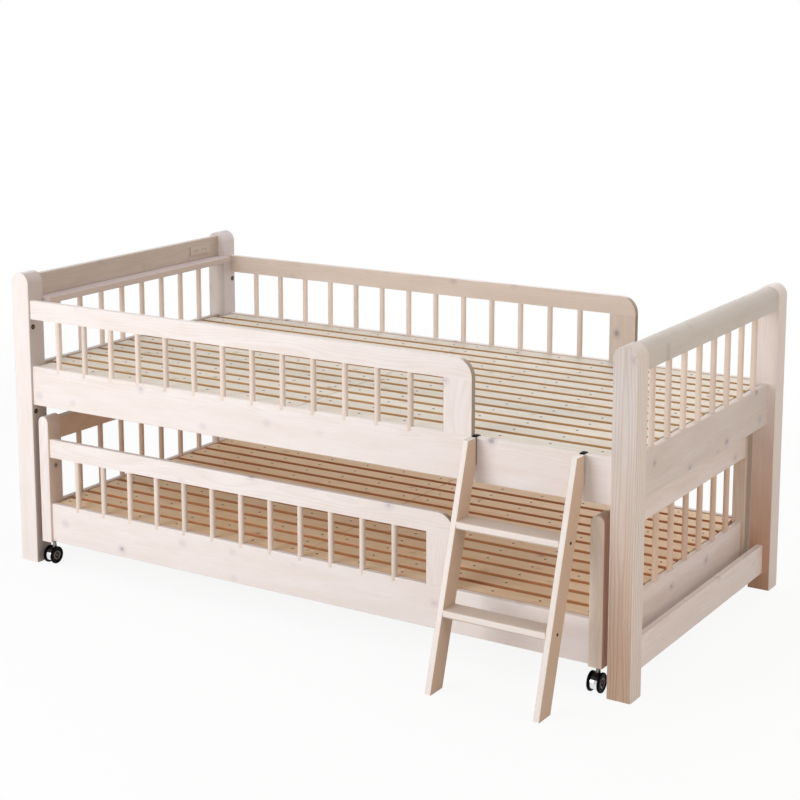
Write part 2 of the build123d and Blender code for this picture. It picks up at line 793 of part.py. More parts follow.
flange_bottom = lower_post_bottom - socket_flange_height
hub_top = flange_bottom - seat_gap
for name, (x, y) in caster_spots.items():
    end, side = name.split("_")
    sleeve = rod((x, y, lower_post_bottom), (0, 0, 1), socket_diameter, socket_depth)
    flange = rod((x, y, flange_bottom), (0, 0, 1), socket_flange_diameter, socket_flange_height)
    stem_bore = rod(
        (x, y, flange_bottom - cut_overrun),
        (0, 0, 1),
        caster_stem_diameter + 2 * stem_gap,
        cut_overrun + hub_top + caster_stem_length + seat_gap - flange_bottom,
    )
    sockets.append(sleeve + flange - stem_bore)
    lower_cuts[end][side].append(
        rod((x, y, lower_post_bottom - cut_overrun), (0, 0, 1),
            socket_diameter + 2 * fit_gap, cut_overrun + socket_depth + fit_gap)
    )
    axle_y = y - caster_trail
    drum = rod((x - drum_width / 2, axle_y, wheel_radius), (1, 0, 0), drum_diameter, drum_width)
    hub = rod((x, y, hub_top - caster_hub_height), (0, 0, 1), caster_hub_diameter, caster_hub_height)
    clear_above = hub_top - caster_hub_height
    neck = box(
        x - drum_width / 2,
        x + drum_width / 2,
        axle_y,
        y + caster_hub_diameter / 2,
        wheel_radius,
        clear_above,
    )
    stem = rod((x, y, hub_top), (0, 0, 1), caster_stem_diameter, caster_stem_length)
    axle_bore = rod(
        (x - drum_width / 2 - cut_overrun, axle_y, wheel_radius),
        (1, 0, 0),
        axle_diameter + 2 * axle_gap,
        drum_width + 2 * cut_overrun,
    )
    nodes["caster_body_" + name] = drum + neck + hub + stem - axle_bore
    wheel_inner = drum_width / 2 + seat_gap
    pieces = []
    for way in (-1, 1):
        face = x + way * wheel_inner
        disc = rod((face, axle_y, wheel_radius), (way, 0, 0), wheel_diameter, wheel_width)
        disc = fillet(disc.edges().filter_by(GeomType.CIRCLE), wheel_round)
        dish_start = face + way * (wheel_width - wheel_recess_depth)
        dish = rod((dish_start, axle_y, wheel_radius), (way, 0, 0), wheel_recess_diameter, cut_overrun)
        bore = rod(
            (face - way * cut_overrun, axle_y, wheel_radius),
            (way, 0, 0),
            axle_diameter + 2 * axle_gap,
            wheel_width + 2 * cut_overrun,
        )
        pieces.append(disc - dish - bore)
    axle_half = wheel_inner + wheel_width - wheel_recess_depth
    pieces.append(
        rod((x - axle_half, axle_y, wheel_radius), (1, 0, 0), axle_diameter, 2 * axle_half)
    )
    nodes["caster_wheels_" + name] = group(pieces)
nodes["caster_sockets"] = group(sockets)

lower_posts = {"head": [], "foot": []}
for end, x_span in (("head", lower_head_x), ("foot", lower_foot_x)):
    for side, y_span in (("front", lower_front_post_y), ("rear", lower_rear_post_y)):
        post = arched_post(*x_span, *y_span, *lower_z)
        lower_posts[end].append(cut_all(post, lower_cuts[end][side]))
nodes["lower_head_posts"] = group(lower_posts["head"])
nodes["lower_foot_posts"] = group(lower_posts["foot"])

# Ladder: two leaning stringers, cut upright where they rest against the rail, and two treads
lean = tan(radians(ladder_lean))
stringer_run = stringer_depth / cos(radians(ladder_lean))
back_plane = rail_recess - ladder_back_gap
cut_height = (back_plane + ladder_reach - stringer_run) / lean
profile = [
    (-ladder_reach, 0),
    (-ladder_reach + stringer_run, 0),
    (back_plane, cut_height),
    (back_plane, ladder_top),
    (-ladder_reach + lean * ladder_top, ladder_top),
]


def stringer(x0):
    """A leaning side board of the ladder."""
    side_plane = Plane(origin=(x0, 0, 0), x_dir=(0, 1, 0), z_dir=(1, 0, 0))
    outline = make_face(Polyline(*profile, close=True))
    board = extrude(side_plane * outline, stringer_width)
    long_edges = [
        edge
        for edge in board.edges()
        if abs(edge.tangent_at(0).X) < sin(radians(1)) and abs(edge.tangent_at(0).Z) > cos(radians(45))
    ]
    return fillet(long_edges, rail_round)


ladder_right = ladder_left + ladder_width
stringer_left_x = (ladder_left, ladder_left + stringer_width)
stringer_right_x = (ladder_right - stringer_width, ladder_right)
tread_x = (stringer_left_x[1], stringer_right_x[0])
left_stringer = stringer(stringer_left_x[0])
right_stringer = stringer(stringer_right_x[0])

treads, screws, left_holes, right_holes = [], [], [], []
for top in (lower_tread_top, upper_tread_top):
    middle_z = top - tread_thickness / 2
    middle_y = -ladder_reach + lean * middle_z + stringer_run / 2
    y_span = (middle_y - tread_depth / 2, middle_y + tread_depth / 2)
    tread = box(*tread_x, *y_span, top - tread_thickness, top)
    front_edges = tread.edges().filter_by(Axis.X).group_by(Axis.Y)[0]
    tread = fillet(front_edges.sort_by(Axis.Z)[0], tread_nose_radius)
    tread = fillet(tread.edges().filter_by(Axis.X).group_by(Axis.Z)[-1], rail_round)
    holes = []
    for x, out, bucket in ((ladder_left, -1, left_holes), (ladder_right, 1, right_holes)):
        seat = (x, middle_y, middle_z)
        screws.append(
            bolt(seat, (out, 0, 0), screw_head_diameter, screw_head_height,
                 screw_shank_diameter, screw_length)
        )
        hole = rod(seat, (-out, 0, 0), screw_shank_diameter + 2 * fit_gap, screw_length + fit_gap)
        bucket.append(hole)
        holes.append(hole)
    treads.append(cut_all(tread, holes))

# Hooks: a flat steel strap down each stringer's back, over the side rail's top and down behind it
hook_top = rail_top + seat_gap
hooks = []
hook_places = (
    (stringer_left_x[0] + hook_from_side, left_holes),
    (stringer_right_x[0] + (stringer_width - hook_width) / 2, right_holes),
)
for x0, bucket in hook_places:
    x_span = (x0, x0 + hook_width)
    lip_y = rail_inner + seat_gap
    strap = box(*x_span, back_plane, back_plane + hook_thickness, hook_top - hook_plate_length, hook_top)
    bridge = box(*x_span, back_plane, lip_y + hook_thickness, hook_top, hook_top + hook_thickness)
    lip = box(*x_span, lip_y, lip_y + hook_thickness, hook_top - hook_lip_length, hook_top)
    hook_holes = []
    for level in (-1, 1):
        z = hook_top - hook_plate_length / 2 + level * hook_screw_spacing / 2
        shank = rod(
            (x0 + hook_width / 2, back_plane + hook_thickness, z),
            (0, -1, 0),
            screw_shank_diameter,
            hook_screw_length,
        )
        hole = rod(
            (x0 + hook_width / 2, back_plane + hook_thickness, z),
            (0, -1, 0),
            screw_shank_diameter + 2 * fit_gap,
            hook_screw_length + fit_gap,
        )
        screws.append(shank)
        hook_holes.append(hole)
        bucket.append(hole)
    hooks.append(cut_all(strap + bridge + lip, hook_holes))
nodes["ladder_stringer_left"] = cut_all(left_stringer, left_holes)
nodes["ladder_stringer_right"] = cut_all(right_stringer, right_holes)
nodes["ladder_treads"] = group(treads)
nodes["ladder_hooks"] = group(hooks)
nodes["ladder_screws"] = group(screws)

# Move every node into the part's own frame and write it
os.makedirs("parts", exist_ok=True)
to_frame = Location((-origin[0], -origin[1], -origin[2]))
for name, shape in nodes.items():
    export_step(to_frame * shape, "parts/" + name + ".step")
print(len(nodes), "nodes written")
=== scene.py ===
from math import cos, pi, radians, sin

import bmesh
import bpy
import numpy as np
from mathutils import Matrix, Vector


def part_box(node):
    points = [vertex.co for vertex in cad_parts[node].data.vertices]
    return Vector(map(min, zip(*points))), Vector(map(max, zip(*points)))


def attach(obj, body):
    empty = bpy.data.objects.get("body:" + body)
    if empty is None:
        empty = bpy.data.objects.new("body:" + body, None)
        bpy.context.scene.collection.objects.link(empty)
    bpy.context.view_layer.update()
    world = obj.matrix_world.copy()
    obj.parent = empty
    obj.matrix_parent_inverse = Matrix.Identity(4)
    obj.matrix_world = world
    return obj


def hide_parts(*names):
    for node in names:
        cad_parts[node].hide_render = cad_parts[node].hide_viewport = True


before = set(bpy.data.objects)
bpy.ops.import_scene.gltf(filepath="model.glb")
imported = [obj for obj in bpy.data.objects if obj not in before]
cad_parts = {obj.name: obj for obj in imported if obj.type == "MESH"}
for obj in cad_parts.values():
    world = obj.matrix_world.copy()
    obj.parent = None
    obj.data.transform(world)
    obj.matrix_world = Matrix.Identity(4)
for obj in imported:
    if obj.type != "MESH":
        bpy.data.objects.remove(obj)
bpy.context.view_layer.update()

MM = 0.001


# Studio: a wide flat sheet of pale paper under a pale surround. Four soft disc lamps stand at the front
# left, above, beyond the foot and behind the bed. Far from the bed the camera sees the sheet as plain
# white; near it the sheet keeps the bed's shadow.
def node(tree, kind, inputs=None, **settings):
    """Adds a shader node, sets its properties and fills or links its inputs."""
    made = tree.nodes.new(kind)
    for key, value in settings.items():
        setattr(made, key, value)
    for key, value in (inputs or {}).items():
        if isinstance(value, bpy.types.NodeSocket):
            tree.links.new(value, made.inputs[key])
        else:
            made.inputs[key].default_value = value
    return made


def linear(hex_code):
    """Turns an sRGB hex colour into linear RGBA: each channel c becomes ((c + 0.055) / 1.055) ^ 2.4."""
    channels = [int(hex_code[i:i + 2], 16) / 255 for i in (1, 3, 5)]
    return [c / 12.92 if c <= 0.04045 else ((c + 0.055) / 1.055) ** 2.4 for c in channels] + [1.0]


def quads_between(index):
    """The quads between neighbouring points in a grid of point numbers, one row of four for each."""
    corners = [index[:-1, :-1], index[1:, :-1], index[1:, 1:], index[:-1, 1:]]
    return np.stack(corners, axis=-1).reshape(-1, 4)


def grid_object(name, points, closed_u=False, closed_v=False):
    """Makes a mesh from a grid of points, shape (rows, columns, 3), as quads between neighbours.

    A closed direction joins its last line of points to its first.
    """
    rows, columns = points.shape[:2]
    index = np.arange(rows * columns).reshape(rows, columns)
    if closed_u:
        index = np.vstack([index, index[:1]])
    if closed_v:
        index = np.hstack([index, index[:, :1]])
    return mesh_object(name, points.reshape(-1, 3), quads_between(index))


def mesh_object(name, points, faces, smooth=True):
    """Makes an object at the origin from points in metres and a list of faces."""
    mesh = bpy.data.meshes.new(name)
    mesh.from_pydata(points.tolist(), [], [list(face) for face in faces])
    mesh.polygons.foreach_set("use_smooth", [smooth] * len(mesh.polygons))
    mesh.update()
    made = bpy.data.objects.new(name, mesh)
    bpy.context.scene.collection.objects.link(made)
    return made


def paint(thing, material):
    """Gives every slot of an object the one material."""
    if not thing.material_slots:
        thing.data.materials.append(material)
    for slot in thing.material_slots:
        slot.material = material


def direct_view(tree):
    """Gives 1 for rays from the camera, also by way of a mirror or glass, and 0 for other light."""
    rays = node(tree, "ShaderNodeLightPath")
    seen = node(tree, "ShaderNodeMath",
                {0: rays.outputs["Is Camera Ray"], 1: rays.outputs["Is Glossy Ray"]},
                operation="MAXIMUM")
    seen = node(tree, "ShaderNodeMath", {0: seen.outputs[0], 1: rays.outputs["Is Transmission Ray"]},
                operation="MAXIMUM")
    return seen.outputs[0]


floor_radius = 30.0
floor_rings = np.array([0.0, 0.05, 0.2, 1.0])
floor_sides = 64
floor_drop = 0.0005
shadow_share = 0.10
shadow_near = 2.4
shadow_far = 4.8

turn = np.linspace(0, 2 * pi, floor_sides, endpoint=False)
reach = floor_rings[:, None] * floor_radius
level = np.full((len(floor_rings), floor_sides), -floor_drop)
disc = np.stack([reach * np.cos(turn), reach * np.sin(turn), level], axis=-1)
floor = grid_object("studio_floor", disc, closed_v=True)

# Matt studio paper. The camera, and metal that mirrors it, see it mostly lit by itself; light that
# bounces off it onto the bed takes the paper's own warm grey.
paper_bounce = "#DBD6D0"
paper_white = "#FBFBFB"
paper = bpy.data.materials.new("studio_paper")
paper.use_nodes = True
tree = paper.node_tree
tree.nodes.clear()
seen = direct_view(tree)
place = node(tree, "ShaderNodeTexCoord")
out = node(tree, "ShaderNodeVectorMath", {0: place.outputs["Object"]}, operation="LENGTH")
glow = node(tree, "ShaderNodeMapRange",
            {0: out.outputs["Value"], 1: shadow_near, 2: shadow_far, 3: 1.0 - shadow_share, 4: 1.0},
            interpolation_type="SMOOTHSTEP")
share = node(tree, "ShaderNodeMath", {0: seen, 1: glow.outputs[0]}, operation="MULTIPLY")
tint = node(tree, "ShaderNodeMix",
            {"Factor": seen, "A": linear(paper_bounce), "B": linear(paper_white)},
            data_type="RGBA")
matt = node(tree, "ShaderNodeBsdfDiffuse", {"Color": tint.outputs["Result"]})
white = node(tree, "ShaderNodeEmission", {"Color": (1, 1, 1, 1), "Strength": 1.0})
mixed = node(tree, "ShaderNodeMixShader",
             {0: share.outputs[0], 1: matt.outputs[0], 2: white.outputs[0]})
node(tree, "ShaderNodeOutputMaterial", {"Surface": mixed.outputs[0]})
paint(floor, paper)

# Pale surround: the camera sees plain white, and the bed gets a weaker, slightly cool light from it.
surround_tint = "#F5F5F8"
surround_strength = 0.46
world = bpy.data.worlds.new("studio_surround")
bpy.context.scene.world = world
world.use_nodes = True
tree = world.node_tree
tree.nodes.clear()
seen = direct_view(tree)
soft = node(tree, "ShaderNodeBackground",
            {"Color": linear(surround_tint), "Strength": surround_strength})
bright = node(tree, "ShaderNodeBackground", {"Color": (1, 1, 1, 1), "Strength": 1.0})
mixed = node(tree, "ShaderNodeMixShader", {0: seen, 1: soft.outputs[0], 2: bright.outputs[0]})
node(tree, "ShaderNodeOutputWorld", {"Surface": mixed.outputs[0]})

# Lamps: name, place and aim in metres, width of the disc in metres, watts, colour
for lamp_name, place, aim, size, power, colour in (
    ("soft_key", (-1.3, -3.7, 1.6), (0.1, 0.0, 0.4), 3.0, 89.0, "#FFFFFF"),
    ("soft_top", (-0.3, 0.9, 3.0), (0.0, 0.1, 0.6), 2.2, 17.0, "#FFFDFA"),
    ("soft_foot", (3.5, -0.7, 1.7), (0.6, 0.0, 0.45), 1.6, 20.0, "#FFE6CC"),
    ("soft_wall", (0.2, 4.6, 1.5), (0.0, 0.0, 0.3), 5.0, 108.0, "#FFF8EF"),
):
    lamp_data = bpy.data.lights.new(lamp_name, "AREA")
    lamp_data.shape = "DISK"
    lamp_data.size = size
    lamp_data.energy = power
    lamp_data.color = linear(colour)[:3]
    lamp = bpy.data.objects.new(lamp_name, lamp_data)
    lamp.location = place
    lamp.rotation_euler = (Vector(aim) - Vector(place)).to_track_quat("-Z", "Y").to_euler()
    lamp.visible_camera = False
    bpy.context.scene.collection.objects.link(lamp)

scene = bpy.context.scene
scene.view_settings.view_transform = "Standard"

# Camera: worked out from the straight edges of the bed in the photograph. Its place is in metres and its
# turns in radians; the focal length and the picture's centre are in pixels of the 800 pixel frame.
picture_width = 800
sensor_width = 36.0
camera_place = (2.7875, -4.3369, 1.8408)
camera_yaw = 0.5850
camera_pitch = -0.1745
camera_roll = -0.0057
focal_pixels = 1775.4
centre_column = 345.2
centre_row = 280.0

forward = Vector((-sin(camera_yaw) * cos(camera_pitch), cos(camera_yaw) * cos(camera_pitch),
                  sin(camera_pitch)))
level_right = Vector((cos(camera_yaw), sin(camera_yaw), 0.0))
level_up = level_right.cross(forward)
right = cos(camera_roll) * level_right + sin(camera_roll) * level_up
up = cos(camera_roll) * level_up - sin(camera_roll) * level_right
camera_data = bpy.data.cameras.new("camera")
camera_data.sensor_width = sensor_width
camera_data.lens = sensor_width * focal_pixels / picture_width
camera_data.shift_x = (picture_width / 2 - centre_column) / picture_width
camera_data.shift_y = (centre_row - picture_width / 2) / picture_width
camera = bpy.data.objects.new("camera", camera_data)
camera_turn = Matrix((right, up, -forward)).transposed().to_4x4()
camera.matrix_world = Matrix.Translation(camera_place) @ camera_turn
bpy.context.scene.collection.objects.link(camera)
scene.camera = camera


# Whitewashed pine: knotty pine boards, planed, sanded and rubbed with a thin white stain. The stain
# hides most of the colour; faint growth rings and fibres and soft blue-grey knots show through it.
# The sizes of the wood's figure are in mm along, across and through a board.
seed_step = 1370.0
board_jump = (4000.0, 60.0, 40.0)
knot_cell = (230.0, 85.0, 85.0)
knot_shape = (0.8, 1.0, 0.2)
knot_push = 9.0
wave_size = (420.0, 90.0, 90.0)
wave_height = 26.0
fibre_size = (45.0, 1.1, 1.1)
patch_size = (210.0, 34.0, 34.0)


def pine(name, wood, axes, colours, seed=0, repeat=None, ring_gap=3.6, ring_strength=0.13,
         fibre_strength=0.15, knots=0.55, knot_radius=6.5, pith_drop=55.0, pith_side=18.0,
         roughness=0.56, bump=0.25, edge=None, fade=None, second=None, shade=None):
    """A pine material for one node, with its grain along the first of three axis letters.

    The second letter runs across the wide face and the third through the board. Rings are the
    distance from a pith line that lies below the wide face; knots are round cells along the board that
    push the rings aside. repeat is the pitch and first edge in mm of boards or dowels in a row, each of
    which gets its own stretch of grain and tone. edge is an axis letter and the colour of the faces
    that look along it, mostly painted shade. fade is a colour, its ring colour and the two heights in mm
    between which they come in. second is a painted shade tint for the second of two boards. shade is a
    signed axis and a painted shade tint for the faces that look along it, on a single board or on the
    first of two.
    """
    low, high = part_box(wood)
    order = ["xyz".index(letter) for letter in axes]
    middle = [(low[i] + high[i]) / 2 / MM for i in order]
    material = bpy.data.materials.new(name)
    material.use_nodes = True
    tree = material.node_tree
    tree.nodes.clear()
    place = node(tree, "ShaderNodeTexCoord")
    split = node(tree, "ShaderNodeSeparateXYZ", {0: place.outputs["Object"]})
    middle[0] = -seed_step * seed
    parts = [node(tree, "ShaderNodeMath", {0: split.outputs[i], 1: 1 / MM, 2: -middle[k]},
                  operation="MULTIPLY_ADD") for k, i in enumerate(order)]
    tone = None
    if repeat:
        # Which board of the row this is, its place inside that board and its own random numbers
        pitch, first, row_axis = repeat
        row = order.index("xyz".index(row_axis))
        along_row = node(tree, "ShaderNodeMath", {0: split.outputs[order[row]], 1: 1 / MM / pitch,
                                                  2: -first / pitch}, operation="MULTIPLY_ADD")
        number = node(tree, "ShaderNodeMath", {0: along_row.outputs[0]}, operation="FLOOR")
        part = node(tree, "ShaderNodeMath", {0: along_row.outputs[0]}, operation="FRACT")
        parts[row] = node(tree, "ShaderNodeMath", {0: part.outputs[0], 1: pitch, 2: -pitch / 2},
                          operation="MULTIPLY_ADD")
        dice = node(tree, "ShaderNodeTexWhiteNoise", {"W": number.outputs[0]}, noise_dimensions="1D")
        tone = dice.outputs["Value"]
        jump = node(tree, "ShaderNodeVectorMath", {0: dice.outputs["Color"], 1: board_jump},
                    operation="MULTIPLY")
    board = node(tree, "ShaderNodeCombineXYZ",
                 {k: made.outputs[0] for k, made in enumerate(parts)}).outputs[0]
    if repeat:
        board = node(tree, "ShaderNodeVectorMath", {0: board, 1: jump.outputs[0]},
                     operation="ADD").outputs[0]

    # Knots: one chance per cell, longer along the board than through it
    cells_at = node(tree, "ShaderNodeVectorMath", {0: board, 1: [1 / size for size in knot_cell]},
                    operation="MULTIPLY")
    cells = node(tree, "ShaderNodeTexVoronoi",
                 {"Vector": cells_at.outputs[0], "Scale": 1.0, "Randomness": 0.85},
                 voronoi_dimensions="3D", feature="F1")
    away = node(tree, "ShaderNodeVectorMath", {0: cells_at.outputs[0], 1: cells.outputs["Position"]},
                operation="SUBTRACT")
    knot_size = tuple(length * share for length, share in zip(knot_cell, knot_shape))
    away = node(tree, "ShaderNodeVectorMath", {0: away.outputs[0], 1: knot_size}, operation="MULTIPLY")
    ragged = node(tree, "ShaderNodeTexNoise", {"Vector": board, "Scale": 0.16, "Detail": 2.0})
    distance = node(tree, "ShaderNodeVectorMath", {0: away.outputs[0]}, operation="LENGTH")
    distance = node(tree, "ShaderNodeMath",
                    {0: ragged.outputs[0], 1: 3.0, 2: distance.outputs["Value"]},
                    operation="MULTIPLY_ADD")
    luck = node(tree, "ShaderNodeSeparateColor", {0: cells.outputs["Color"]})
    radius = node(tree, "ShaderNodeMapRange",
                  {0: luck.outputs[0], 1: 1.0 - knots, 2: 1.0, 3: 1.5, 4: knot_radius + 2.0})
    inside = node(tree, "ShaderNodeMath", {0: radius.outputs[0], 1: distance.outputs[0]},
                  operation="SUBTRACT")
    knot = node(tree, "ShaderNodeMapRange", {0: inside.outputs[0], 1: -3.5, 2: 2.0, 3: 0.0, 4: 1.0},
                interpolation_type="SMOOTHSTEP")
    halo = node(tree, "ShaderNodeMapRange", {0: inside.outputs[0], 1: -16.0, 2: 0.0, 3: 0.0, 4: 1.0},
                interpolation_type="SMOOTHSTEP")
    real = node(tree, "ShaderNodeMath", {0: luck.outputs[0], 1: 1.0 - knots}, operation="GREATER_THAN")
    knot = node(tree, "ShaderNodeMath", {0: knot.outputs[0], 1: real.outputs[0]}, operation="MULTIPLY")
    halo = node(tree, "ShaderNodeMath", {0: halo.outputs[0], 1: real.outputs[0]}, operation="MULTIPLY")

    # Growth rings, bent by slow waves along the board and by the knots
    slow_at = node(tree, "ShaderNodeVectorMath", {0: board, 1: [1 / size for size in wave_size]},
                   operation="MULTIPLY")
    slow = node(tree, "ShaderNodeTexNoise", {"Vector": slow_at.outputs[0], "Scale": 1.0, "Detail": 1.0})
    wave = node(tree, "ShaderNodeMath", {0: slow.outputs[0], 1: wave_height}, operation="MULTIPLY")
    push = node(tree, "ShaderNodeMath", {0: halo.outputs[0], 1: knot_push, 2: wave.outputs[0]},
                operation="MULTIPLY_ADD")
    flat_part = node(tree, "ShaderNodeVectorMath",
                     {0: board, 1: (0.0, 1.0, 1.0), 2: (0.0, pith_side, pith_drop)},
                     operation="MULTIPLY_ADD")
    from_pith = node(tree, "ShaderNodeVectorMath", {0: flat_part.outputs[0]}, operation="LENGTH")
    ring_at = node(tree, "ShaderNodeMath", {0: from_pith.outputs["Value"], 1: push.outputs[0]},
                   operation="ADD")
    ring_at = node(tree, "ShaderNodeMath", {0: ring_at.outputs[0], 1: 1 / ring_gap},
                   operation="MULTIPLY")
    phase = node(tree, "ShaderNodeMath", {0: ring_at.outputs[0]}, operation="FRACT")
    late = node(tree, "ShaderNodeMapRange", {0: phase.outputs[0], 1: 0.35, 2: 0.92, 3: 0.0, 4: 1.0},
                interpolation_type="SMOOTHSTEP")
    fall = node(tree, "ShaderNodeMapRange", {0: phase.outputs[0], 1: 0.93, 2: 1.0, 3: 1.0, 4: 0.0})
    ring = node(tree, "ShaderNodeMath", {0: late.outputs[0], 1: fall.outputs[0]}, operation="MULTIPLY")

    # Fibres: fine streaks along the grain; patches where the stain is thinner
    fibre_at = node(tree, "ShaderNodeVectorMath", {0: board, 1: [1 / size for size in fibre_size]},
                    operation="MULTIPLY")
    fibre = node(tree, "ShaderNodeTexNoise",
                 {"Vector": fibre_at.outputs[0], "Scale": 1.0, "Detail": 2.0})
    patch_at = node(tree, "ShaderNodeVectorMath", {0: board, 1: [1 / size for size in patch_size]},
                    operation="MULTIPLY")
    patch = node(tree, "ShaderNodeTexNoise",
                 {"Vector": patch_at.outputs[0], "Scale": 1.0, "Detail": 3.0})
    streak = node(tree, "ShaderNodeMapRange", {0: fibre.outputs[0], 1: 0.32, 2: 0.68, 3: 0.0, 4: 1.0})
    marks = node(tree, "ShaderNodeMath", {0: ring.outputs[0], 1: ring_strength}, operation="MULTIPLY")
    marks = node(tree, "ShaderNodeMath", {0: streak.outputs[0], 1: fibre_strength, 2: marks.outputs[0]},
                 operation="MULTIPLY_ADD")

    light, warm, dark, knot_colour, halo_colour = [linear(code) for code in colours]
    thin = node(tree, "ShaderNodeMapRange", {0: patch.outputs[0], 1: 0.35, 2: 0.70, 3: 0.0, 4: 1.0})
    base = node(tree, "ShaderNodeMix", {"Factor": thin.outputs[0], "A": light, "B": warm},
                data_type="RGBA")
    if fade:
        # Redder towards the bottom, with redder rings there; on the rear foot post this is painted warm
        # shade near the floor
        fade_colour, fade_ring, fade_start, fade_end = fade
        down = node(tree, "ShaderNodeMapRange",
                    {0: split.outputs[2], 1: fade_start * MM, 2: fade_end * MM, 3: 0.0, 4: 1.0},
                    interpolation_type="SMOOTHSTEP")
        base = node(tree, "ShaderNodeMix", {"Factor": down.outputs[0], "A": base.outputs["Result"],
                                            "B": linear(fade_colour)}, data_type="RGBA")
        dark = node(tree, "ShaderNodeMix",
                    {"Factor": down.outputs[0], "A": dark, "B": linear(fade_ring)},
                    data_type="RGBA").outputs["Result"]
    base = node(tree, "ShaderNodeMix",
                {"Factor": marks.outputs[0], "A": base.outputs["Result"], "B": dark},
                data_type="RGBA")
    soft_halo = node(tree, "ShaderNodeMath", {0: halo.outputs[0], 1: 0.8}, operation="MULTIPLY")
    base = node(tree, "ShaderNodeMix", {"Factor": soft_halo.outputs[0], "A": base.outputs["Result"],
                                        "B": halo_colour}, data_type="RGBA")
    ring_in_knot = node(tree, "ShaderNodeMath", {0: distance.outputs[0], 1: 2.4}, operation="MULTIPLY")
    ring_in_knot = node(tree, "ShaderNodeMath", {0: ring_in_knot.outputs[0]}, operation="SINE")
    knot_mix = node(tree, "ShaderNodeMath", {0: ring_in_knot.outputs[0], 1: 0.10, 2: 0.75},
                    operation="MULTIPLY_ADD")
    knot_mix = node(tree, "ShaderNodeMath", {0: knot_mix.outputs[0], 1: knot.outputs[0]},
                    operation="MULTIPLY")
    base = node(tree, "ShaderNodeMix", {"Factor": knot_mix.outputs[0], "A": base.outputs["Result"],
                                        "B": knot_colour}, data_type="RGBA")
    colour = base.outputs["Result"]
    if edge:
        # Faces that look along one axis take a colour of their own, with the rings over it; mostly
        # this is painted shade on those sides
        edge_axis, side_shade_colour = edge
        facing = node(tree, "ShaderNodeSeparateXYZ", {0: place.outputs["Normal"]})
        facing = node(tree, "ShaderNodeMath", {0: facing.outputs["xyz".index(edge_axis)]},
                      operation="ABSOLUTE")
        side_shade_mask = node(tree, "ShaderNodeMapRange",
                    {0: facing.outputs[0], 1: 0.22, 2: 0.50, 3: 0.0, 4: 1.0})
        side_shade_with_rings = node(tree, "ShaderNodeMix",
                   {"Factor": marks.outputs[0], "A": linear(side_shade_colour), "B": dark},
                   data_type="RGBA")
        base = node(tree, "ShaderNodeMix",
                    {"Factor": side_shade_mask.outputs[0], "A": colour, "B": side_shade_with_rings.outputs["Result"]},
                    data_type="RGBA")
        colour = base.outputs["Result"]
    if shade:
        # Faces that look one way and lie in shade in the photograph
        shade_axis, shade_tint = shade
        sign = -1.0 if shade_axis[0] == "-" else 1.0
        facing = node(tree, "ShaderNodeSeparateXYZ", {0: place.outputs["Normal"]})
        facing = node(tree, "ShaderNodeMapRange", {0: facing.outputs["xyz".index(shade_axis[1])],
                                                   1: 0.3 * sign, 2: 0.7 * sign, 3: 0.0, 4: 1.0})
        if repeat:
            first_board = node(tree, "ShaderNodeMath", {0: 1.0, 1: number.outputs[0]},
                               operation="SUBTRACT")
            facing = node(tree, "ShaderNodeMath", {0: facing.outputs[0], 1: first_board.outputs[0]},
                          operation="MULTIPLY")
        tint = node(tree, "ShaderNodeMix", {"Factor": facing.outputs[0], "A": (1, 1, 1, 1),
                                            "B": linear(shade_tint)}, data_type="RGBA")
        toned = node(tree, "ShaderNodeVectorMath", {0: colour, 1: tint.outputs["Result"]},
                     operation="MULTIPLY")
        colour = toned.outputs[0]
    if tone is not None:
        # Each board of a row a little lighter or darker than its neighbour
        spread = node(tree, "ShaderNodeMapRange", {0: tone, 1: 0.0, 2: 1.0, 3: 0.92, 4: 1.04})
        toned = node(tree, "ShaderNodeVectorMath", {0: colour, 1: spread.outputs[0]},
                     operation="MULTIPLY")
        colour = toned.outputs[0]
        # The second board of a pair takes a painted shade tint
        if second:
            tint = node(tree, "ShaderNodeMix", {"Factor": number.outputs[0], "A": (1, 1, 1, 1),
                                                "B": linear(second)}, data_type="RGBA")
            toned = node(tree, "ShaderNodeVectorMath", {0: colour, 1: tint.outputs["Result"]},
                         operation="MULTIPLY")
            colour = toned.outputs[0]
    rough = node(tree, "ShaderNodeMapRange", {0: marks.outputs[0], 1: 0.0, 2: 0.6, 3: roughness,
                                              4: roughness + 0.10})
    height = node(tree, "ShaderNodeMath", {0: marks.outputs[0], 1: -1.0}, operation="MULTIPLY")
    relief = node(tree, "ShaderNodeBump",
                  {"Strength": bump, "Distance": 0.0004, "Height": height.outputs[0]})
    surface = node(tree, "ShaderNodeBsdfPrincipled",
                   {"Base Color": colour, "Roughness": rough.outputs[0], "Specular IOR Level": 0.3,
                    "Normal": relief.outputs[0]})
    node(tree, "ShaderNodeOutputMaterial", {"Surface": surface.outputs[0]})
    return material


def row_of(wood, count, axis):
    """The pitch and first edge in mm of so many equal boards or dowels in a row along one axis."""
    low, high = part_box(wood)
    column = "xyz".index(axis)
    across = "xyz".index({"x": "y", "y": "x"}[axis])
    thick = high[across] - low[across]
    pitch = (high[column] - low[column] - thick) / (count - 1) / MM
    return pitch, (low[column] + thick / 2) / MM - pitch / 2, axis


# Each stain's colours: where it lies thick, where it is thin, the ring lines, the knots, their halo.
# The grey, rail and shelf stains are darker copies of the white one: painted shade for boards in shade.
white_stain = ("#F5EEEC", "#F0E6E1", "#D2BEB2", "#A99FA6", "#DCD2D4")
shaded_grey_stain = ("#E4DCD7", "#DCD1CA", "#BEAFA5", "#999097", "#C8BEBE")
shaded_rail_stain = ("#D9D4CF", "#D2CBC4", "#B4A79C", "#8F898E", "#BEB7B5")
shaded_shelf_stain = ("#D3C6C6", "#CCBDBC", "#AC9C9A", "#90868C", "#BAAFB2")
tan_stain = ("#EADDD0", "#E2D1C1", "#BBA08A", "#988B84", "#CBBBB0")
